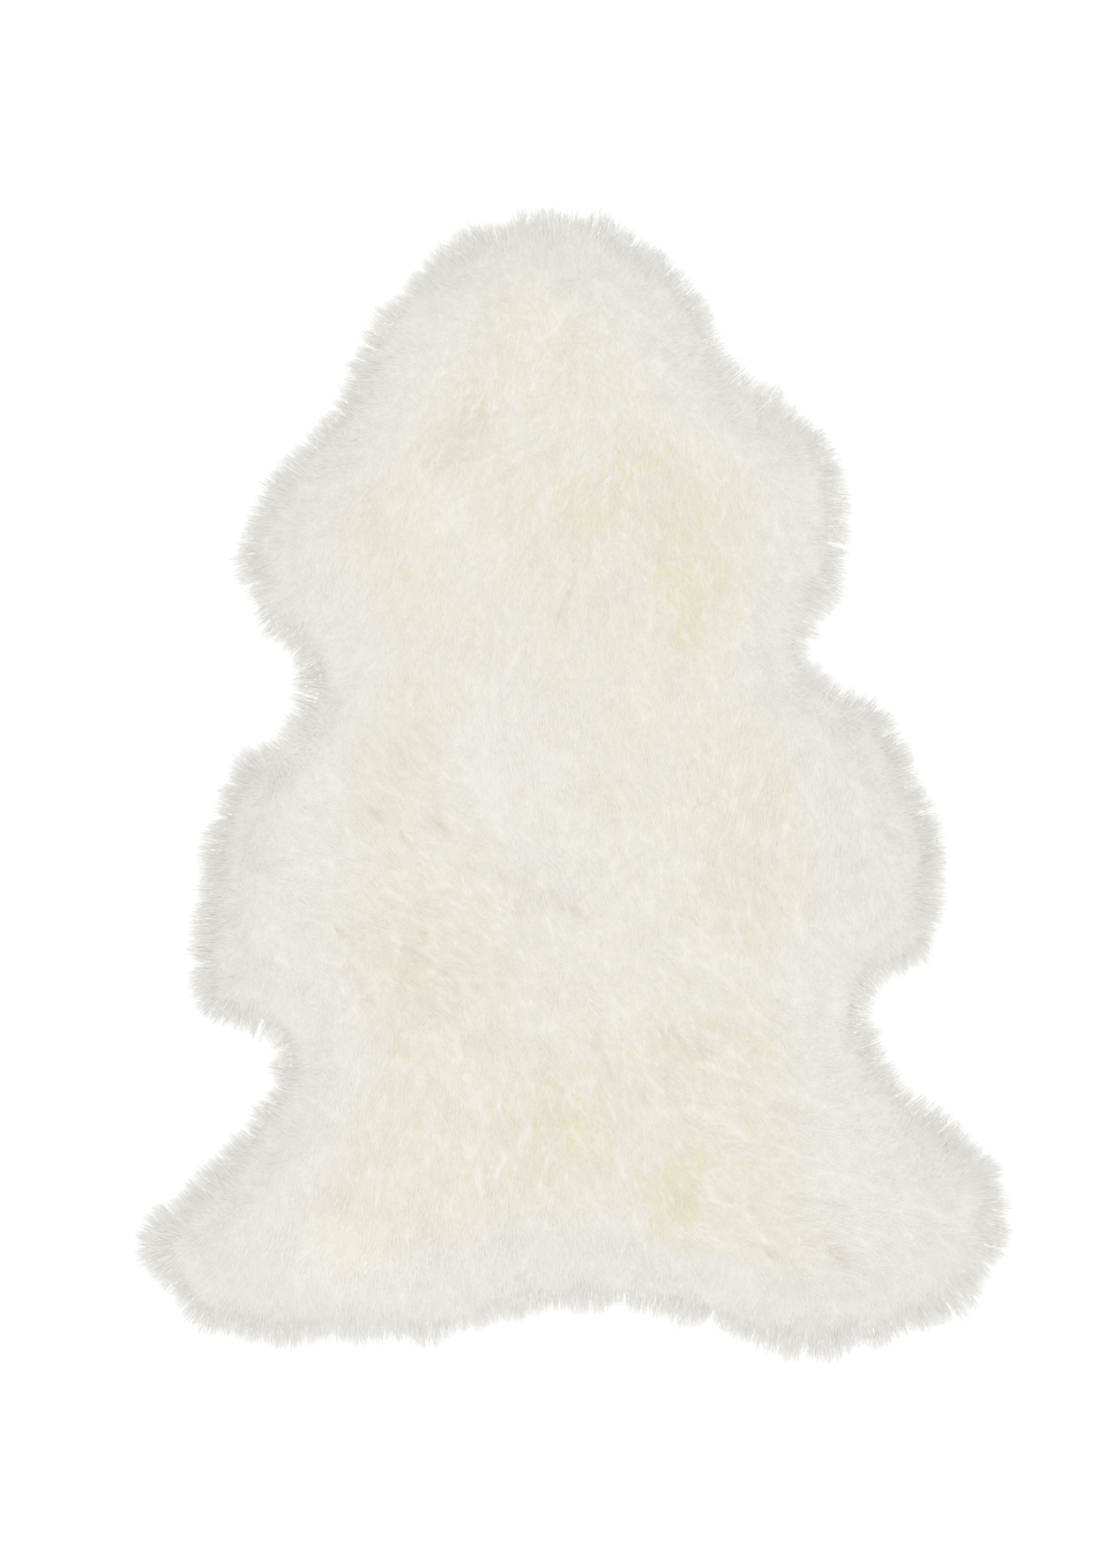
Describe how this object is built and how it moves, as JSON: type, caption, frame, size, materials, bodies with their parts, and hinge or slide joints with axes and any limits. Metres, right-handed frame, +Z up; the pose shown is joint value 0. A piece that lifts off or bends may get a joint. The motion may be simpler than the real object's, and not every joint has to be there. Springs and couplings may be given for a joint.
{
  "type": "sheepskin rug",
  "caption": "Sheepskin rug: a whole natural pelt lying wool side up, with the outline of neck, legs and belly, thick cream wool and a flat leather underside.",
  "frame": {"origin": "on the floor under the middle of the rug's bounding box", "axes": "+Y towards the neck end, +X to the right as seen from above, +Z up out of the wool"},
  "size_m": [0.7158, 0.9448, 0.052],
  "materials": {
    "wool": "long soft undyed cream wool, combed, matt",
    "leather": "pale tanned suede leather, matt"
  },
  "bodies": {
    "root": {"sheepskin": "wool"}
  },
  "joints": []
}
